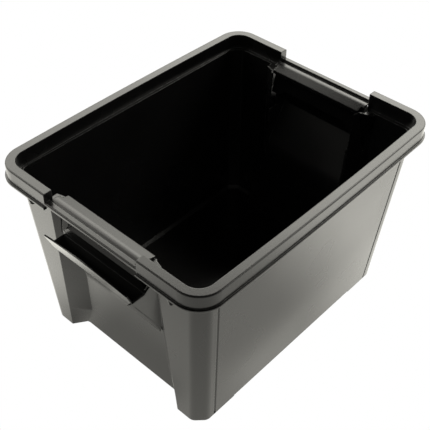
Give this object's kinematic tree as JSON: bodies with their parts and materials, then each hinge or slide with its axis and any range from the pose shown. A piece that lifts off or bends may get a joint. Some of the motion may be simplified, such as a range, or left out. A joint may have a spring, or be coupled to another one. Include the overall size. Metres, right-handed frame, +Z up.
{
  "type": "storage tote",
  "caption": "Tapered rectangular plastic tote with corner pillars, recessed end panels, a lowered rim and scoop hand grips with inner liners at both ends.",
  "frame": {"origin": "centre of the footprint, on the floor under the corner feet", "axes": "+X along the length from the left grip to the right grip, +Y across the width, +Z up out of the opening"},
  "size_m": [0.5386, 0.395, 0.31],
  "materials": {
    "tote_plastic": "satin black polypropylene with a fine grain",
    "liner_plastic": "smoother black polypropylene"
  },
  "bodies": {
    "root": {"tote": "tote_plastic", "left_grip_liner": "liner_plastic", "right_grip_liner": "liner_plastic"}
  },
  "joints": []
}
